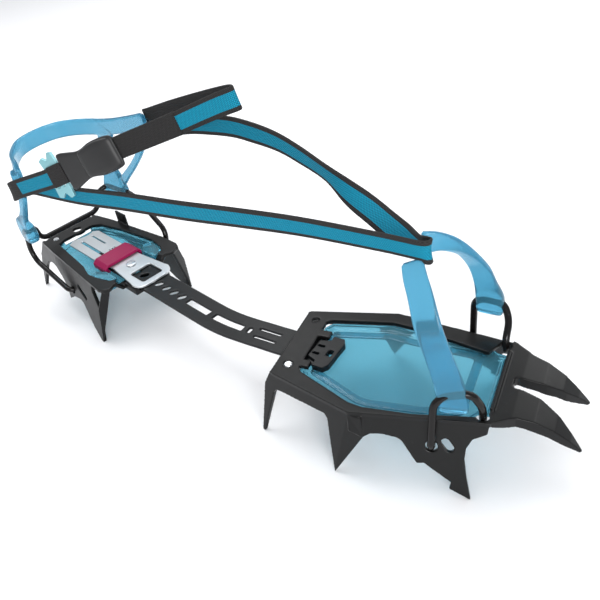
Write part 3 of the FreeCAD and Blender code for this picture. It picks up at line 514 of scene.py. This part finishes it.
near_arm = moulded("near_arm", front, [
    ((99.6, -31.4, 48.6), (6.0, 0.9, 1.9), 3.0), ((99.5, -31.4, 51), (6.6, 0.9, 1.9), 3.5),
    ((98.4, -31.0, 58), (6.6, 0.9, 1.9), 3.2), ((96, -30.2, 67), (6.3, 0.8, 1.9), 1.5),
    ((91.8, -28.8, 79), (6.0, 0.6, 2.0), 1.3), ((87.2, -26.2, 91), (5.9, 0.5, 2.4), 1.3),
    ((82.4, -19.8, 102.5), (5.6, 0.4, 2.0), 1.3), ((78.8, -14.8, 108.8), (5.4, 0.2, 1.5), 1.3),
    ((76.2, -9.6, 113), (5.0, 0, 1.2), 1.2),
])
far_arm = moulded("far_arm", front, [
    ((101, 37.8, 52.6), (6.4, -0.4, 0.4), 3.0), ((101, 37.8, 55.5), (7.2, -0.4, 0.4), 3.4),
    ((100.6, 37.3, 63), (7.2, -0.4, 0), 3.0), ((98.8, 34.5, 74), (6.0, -0.2, -0.8), 1.4),
    ((96.6, 29.8, 86), (5.5, 0, -1.4), 1.3), ((92.8, 24.0, 96.6), (5.4, 0, -1.2), 1.3),
    ((88.8, 19.5, 103), (5.2, 0.2, 1.2), 1.3), ((84.4, 15.5, 107.4), (4.2, 0.4, 3.6), 1.3),
    ((79.6, 11.5, 110), (1.6, 0.6, 5.4), 1.3), ((75.4, 8.0, 110.8), (-2.0, 0.4, 5.8), 1.3),
])
ARMS = (
    (near_arm, "toe_cradle_near", "near_toe_wire"),
    (far_arm, "toe_cradle_far", "far_toe_wire"),
)
for thing, node, wire in ARMS:
    dress(thing, blue_cradle, None, node)
    low, high = [Vector(corner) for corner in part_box(node)]
    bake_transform(thing)

heel_band = moulded("heel_band", heel, [
    ((28.6, -28.8, 104), (4.6, 1.4, 2.0), 1.5), ((26, -27.2, 110.4), (3.0, 1.2, 5.2), 1.5),
    ((17.4, -23.6, 111.6), (0, 0, 6.1), 1.4), ((5.2, -16.8, 111.4), (0, 0, 6.1), 1.4),
    ((-4.5, -8.5, 111.2), (0, 0, 6.1), 1.4), ((-8.8, 2, 111.2), (0, 0, 6.1), 1.4),
    ((-8.6, 13, 111.5), (0, 0, 6.1), 1.4), ((-4, 23, 112), (0, 0, 6.1), 1.4),
    ((5, 31.3, 112.3), (0, 0, 6.1), 1.4), ((18, 36.8, 113.2), (-0.3, 0, 6.1), 1.4),
    ((32, 38.9, 115), (-0.8, 0, 6.0), 1.4), ((50, 39.8, 119), (-1.3, 0, 5.6), 1.4),
    ((72, 40, 125.2), (-1.6, 0, 5.2), 1.4), ((92, 39.6, 131.5), (-1.6, 0, 4.8), 1.4),
])
near_leg = moulded("near_leg", heel, [
    ((26.4, -27.8, 111), (4.6, 1.6, 0.5), 1.5), ((29.8, -30.0, 101), (4.6, 1, 0), 1.5),
    ((28.2, -31.2, 91), (4.0, 0.2, 0), 1.7), ((24, -32.4, 81), (3.4, 0, 0), 1.9),
    ((18.4, -33, 73), (4.2, 0, 0), 2.2), ((12, -31.6, 66), (7.4, 0, 0), 3.8),
    ((10.6, -31.0, 58), (7.6, 0, 0), 4.2), ((9.8, -31.0, 52), (6.4, 0, 0), 3.8),
])
far_leg = moulded("far_leg", heel, [
    ((34, 39.2, 116), (9.5, 0.6, 1.0), 1.4), ((28, 39.5, 106), (7.4, 0.5, 0), 1.4),
    ((23.5, 39.6, 94), (6.4, 0.4, 0), 1.5), ((22.4, 39.4, 82), (7.6, 0.5, 0), 1.6),
    ((23, 38.8, 72), (11.0, 1.6, 0), 2.6), ((23.4, 37.8, 64), (12.2, 2.2, 0), 3.3),
    ((23.6, 37.8, 58.6), (11.6, 2.2, 0), 3.0),
])
strut = moulded("strut", heel, [
    ((31, 39.8, 70), (3.0, 0, -2.4), 1.4), ((42, 40.1, 79), (2.2, 0, -2.2), 1.4),
    ((60, 40.3, 93.5), (2.0, 0, -1.8), 1.4), ((76, 40.2, 109), (2.2, 0, -1.6), 1.4),
    ((88, 39.8, 127), (3.0, 0, -1.4), 1.4),
])
cradle = melted("heel_cradle_moulding", [heel_band, near_leg, far_leg, strut], 0.5, 5, 0.45)
dress(cradle, blue_cradle, "heel_harness", "heel_cradle")

# the buckle's middle in the heel frame, and the way the pull tab runs from it
BUCKLE_MIDDLE = (76.1, -20.1, 115.9)
tab_ahead = Vector((0.846, 0.385, 0.350)).normalized()
tab_across = Vector((-0.3, 0, 1))
tab_across = (tab_across - tab_ahead * tab_across.dot(tab_ahead)).normalized()
tab_out = tab_ahead.cross(tab_across)


def tab_station(reach, half_width, low, high):
    """Section of the pull tab at a reach from the buckle's middle, from low to high off the strap."""
    centre = Vector(BUCKLE_MIDDLE) + tab_ahead * reach + tab_out * (low + high) / 2
    return tuple(centre), tuple(tab_across * half_width), (high - low) / 2


plate_part = moulded("tab_plate", heel, [
    tab_station(8.9, 11.2, 0.4, 2.2), tab_station(9.6, 11.7, 0.1, 2.8), tab_station(13, 11.6, 0, 2.9),
    tab_station(19, 10.2, 0, 2.9), tab_station(25, 8.9, 0, 2.9), tab_station(30, 9.0, 0, 2.9),
    tab_station(38, 10.4, 0, 2.9), tab_station(48, 10.4, 0, 2.8), tab_station(53.6, 9.6, 0, 2.4),
    tab_station(55.6, 8.4, 0.4, 2.0),
])
grip_part = moulded("tab_grip", heel, [
    tab_station(26.6, 6.8, 1.6, 2.6), tab_station(28.4, 7.9, 1.4, 4.6), tab_station(30.5, 8.4, 1.2, 5.4),
    tab_station(39, 9.6, 1.2, 5.6), tab_station(46, 9.6, 1.2, 5.2), tab_station(51.5, 8.8, 1.2, 3.8),
    tab_station(54, 7.6, 1.2, 2.4),
])
tab = melted("pull_tab_moulding", [plate_part, grip_part], 0.35, 5, 0.5)
dress(tab, grip, "heel_harness", "pull_tab")

low, high = [Vector(corner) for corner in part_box("lock_stud")]
middle, radius = (low + high) / 2, (high.x - low.x) / 2
# share of the radius, and mm above the solid's top; None is the solid's foot
PROFILE = [
    (0, 0.3), (0.55, 0.3), (0.72, 0.24), (0.92, 0.2), (1, 0.05), (1, -0.8),
    (0.5, -0.8), (0.5, None), (0, None),
]
ring_size, verts, faces = 40, [], []
for reach, height in PROFILE:
    z = low.z if height is None else high.z + height * MM
    for k in range(ring_size):
        angle = 2 * math.pi * k / ring_size
        x = middle.x + radius * reach * math.cos(angle)
        y = middle.y + radius * reach * math.sin(angle)
        verts.append((x, y, z))
for i in range(len(PROFILE) - 1):
    for k in range(ring_size):
        j = (k + 1) % ring_size
        a, b = i * ring_size, (i + 1) * ring_size
        faces.append((a + k, b + k, b + j, a + j))
stud = mesh_object("lock_stud_turned", verts, faces)
dress(smooth_shaded(stud), steel_rivet, "adjuster", "lock_stud")

for node in ("front_panel_rivet", "heel_panel_rivet"):
    nodes[node].data.materials.clear()
    nodes[node].data.materials.append(steel_rivet)


# ---------------------------------------------------------------- webbing

WIDE, THICK = 12.5, 1.6
near_run = [
    (row(81.4, 6.3, 118.6), lean(row, 0, 0)), (row(83.8, 5.0, 119.4), lean(row, 0, -0.1)),
    (row(84.9, 3.0, 120.1), lean(row, 0, -0.18)), (row(83.8, 1.2, 120.7), lean(row, 0, -0.22)),
    (row(80.6, 0.5, 121), lean(row, 0, -0.25)), (row(71, 0.6, 121), lean(row, 0, -0.25)),
    (row(60, 1.0, 120.6), lean(row, 0, -0.24)), (row(19, 2, 118.6), lean(row, 0, -0.18)),
    (row(-20, 2.1, 115.4), lean(row, 0, -0.1)), (row(-60, 2.4, 111.4), lean(row, 0, -0.04)),
    (row(-110, 3.6, 107), lean(row, 0, 0)),
    (row(-160, 6.2, 100.6), lean(row, 0, 0)), (heel(34, -23.2, 98.2), lean(heel, -0.1, 0)),
    (heel(27, -24, 97.2), lean(heel, 0.04, 0)),
]
near_turn = [
    (heel(31, -23.6, 97.8), lean(heel, -0.04, 0)), (heel(27.4, -24.6, 97.3), lean(heel, 0.02, 0)),
    (heel(25.2, -26.2, 96.9), lean(heel, 0.08, 0)), (heel(23.8, -29.4, 96.7), lean(heel, 0.1, 0)),
    (heel(24, -32.8, 96.9), lean(heel, 0.1, 0)), (heel(26.8, -35.2, 97.9), lean(heel, 0.02, 0)),
    (heel(36, -34.4, 102), lean(heel, -0.16, 0)), (heel(56, -28.6, 109), lean(heel, -0.22, 0)),
    (heel(67.6, -25.4, 113), lean(heel, -0.25, 0)), (heel(75.8, -23.2, 116.1), lean(heel, -0.3, 0)),
]
thing = band("near_webbing_front", near_run, WIDE, THICK, part=(0, 9))
dress(thing, web_strap, None, "near_webbing")
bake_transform(thing)
thing = band("near_webbing_rear", near_run, WIDE, THICK, part=(9, 13))
dress(thing, web_strap, None, "near_webbing")
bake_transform(thing)
thing = band("near_webbing_return", near_turn, WIDE, THICK, 8)
dress(thing, web_return, "heel_harness", "near_webbing")

far_run = [
    (row(81.2, 7.4, 116.5), lean(row, 0, 0.1)), (row(76, 11, 114.8), lean(row, 0, 0.2)),
    (row(66, 19, 112), lean(row, 0, 0.55, 0.84)), (row(54, 24, 114.4), lean(row, 0, 0.7, 0.7)),
    (row(42.5, 28, 118), lean(row, 0, 0.7, 0.7)), (row(28, 32, 123), lean(row, 0, 0.3, 0.95)),
    (row(12, 37, 129), lean(row, 0, -0.2, 0.97)), (row(-6, 41.5, 134), lean(row, 0, -0.15, 1)),
    (row(-22.5, 45, 137.6), lean(row, 0, -0.1, 1)), (row(-42, 49, 138.6), lean(row, 0, 0, 1)),
    (row(-62, 52.5, 138.2), lean(row, 0, 0, 1)), (row(-95, 57.8, 133.4), lean(row, 0, 0, 1)),
    (row(-116, 60.2, 128.8), lean(row, 0, 0, 1)), (heel(104, 45.2, 130), lean(heel, -0.15, 0)),
    (heel(96.5, 44.6, 131.4), lean(heel, -0.25, 0)),
]
thing = band("far_webbing_front", far_run, WIDE, THICK, part=(0, 8))
dress(thing, web_strap, None, "far_webbing")
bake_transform(thing)
thing = band("far_webbing_rear", far_run, WIDE, THICK, part=(8, 14))
dress(thing, web_strap, None, "far_webbing")
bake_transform(thing)

ankle = [
    (heel(89.5, 42.6, 130.9), lean(heel, -0.28, 0)), (heel(96, 42.6, 133), lean(heel, -0.3, 0)),
    (heel(125, 41.6, 143.2), lean(heel, -0.35, 0)),
    (heel(160, 40, 154.8), lean(heel, -0.35, 0)), (heel(187, 37.8, 163.4), lean(heel, -0.35, 0)),
    (heel(195.4, 36.6, 165.6), lean(heel, -0.35, 0)), (heel(198.2, 34.6, 166), lean(heel, -0.35, 0)),
    (heel(196.4, 32.2, 165.3), lean(heel, -0.35, 0)), (heel(189, 29.2, 162.6), lean(heel, -0.35, 0)),
    (heel(176, 24.4, 157.2), lean(heel, -0.35, 0)), (heel(163.4, 19.8, 151.8), lean(heel, -0.35, 0)),
]
thing = band("ankle_webbing_band", ankle, WIDE, THICK, 8)
dress(thing, web_ankle, "heel_harness", "ankle_webbing")
sewn = [
    (heel(163.4, 19.7, 151.8), lean(heel, -0.35, 0)), (heel(144, 11.6, 144.2), lean(heel, -0.35, 0)),
    (heel(126.4, 3.6, 137.4), lean(heel, -0.35, 0)), (heel(119, 0.0, 134.4), lean(heel, -0.35, 0)),
]
thing = band("webbing_end_band", sewn, WIDE + 0.6, THICK + 1.0)
dress(thing, web_black, "heel_harness", "webbing_end")
wrap = [
    (heel(73.2, -22.6, 115.4), lean(heel, -0.3, 0)), (heel(74.6, -24.2, 115.8), lean(heel, -0.3, 0)),
    (heel(77, -23.3, 116.8), lean(heel, -0.3, 0)), (heel(82.4, -20.2, 119.1), lean(heel, -0.3, 0)),
    (heel(84.2, -18.6, 119.8), lean(heel, -0.3, 0)),
]
thing = band("strap_loop_band", wrap, WIDE + 0.8, THICK + 0.4)
dress(thing, web_black, "heel_harness", "strap_loop")


# ---------------------------------------------------------------- floor, light and camera

FLOOR_REACH = 6
floor_material, _, shader = new_material("floor")
shader.inputs["Base Color"].default_value = (0.86, 0.86, 0.87, 1)
shader.inputs["Roughness"].default_value = 0.9
corners = [(x * FLOOR_REACH, y * FLOOR_REACH, 0) for x, y in ((-1, -1), (1, -1), (1, 1), (-1, 1))]
floor = mesh_object("floor", corners, [(0, 1, 2, 3)])
floor.data.materials.append(floor_material)


def area_light(name, place, target, size, power):
    data = bpy.data.lights.new(name, "AREA")
    data.shape = "RECTANGLE"
    data.size, data.size_y = size
    data.energy = power
    lamp = bpy.data.objects.new(name, data)
    lamp.location = place
    lamp.rotation_euler = (Vector(target) - Vector(place)).to_track_quat("-Z", "Y").to_euler()
    bpy.context.scene.collection.objects.link(lamp)


area_light("key", (-0.5, 0.25, 1.1), (0, 0, 0.05), (0.9, 0.9), 11)
area_light("side", (0.75, -0.8, 0.45), (0.05, 0, 0.08), (0.7, 0.5), 12)
area_light("back", (0.3, 1.2, 0.7), (0, 0, 0.08), (1.2, 0.6), 6)
world = bpy.data.worlds.new("studio")
world.use_nodes = True
world.node_tree.nodes["Background"].inputs["Color"].default_value = (0.95, 0.97, 1.0, 1)
world.node_tree.nodes["Background"].inputs["Strength"].default_value = 0.66
bpy.context.scene.world = world

# the photograph's camera
AZIMUTH, ELEVATION, ROLL = math.radians(39.7), math.radians(36.5), math.radians(-10.3)
back = Vector((
    math.sin(AZIMUTH) * math.cos(ELEVATION), -math.cos(AZIMUTH) * math.cos(ELEVATION), math.sin(ELEVATION),
))
right = (-back).cross(UP).normalized()
upward = right.cross(-back)
rolled_right = right * math.cos(ROLL) + upward * math.sin(ROLL)
rolled_up = upward * math.cos(ROLL) - right * math.sin(ROLL)
camera = bpy.data.objects.new("camera", bpy.data.cameras.new("camera"))
camera.data.lens = 41.6
camera.data.shift_y = -0.005
camera.data.clip_start = 0.01
basis = Matrix((rolled_right, rolled_up, back)).transposed().to_4x4()
camera.matrix_world = Matrix.Translation(row(196.5, -222.3, 289.3)) @ basis
bpy.context.scene.collection.objects.link(camera)
bpy.context.scene.camera = camera
bpy.context.scene.view_settings.view_transform = "Standard"
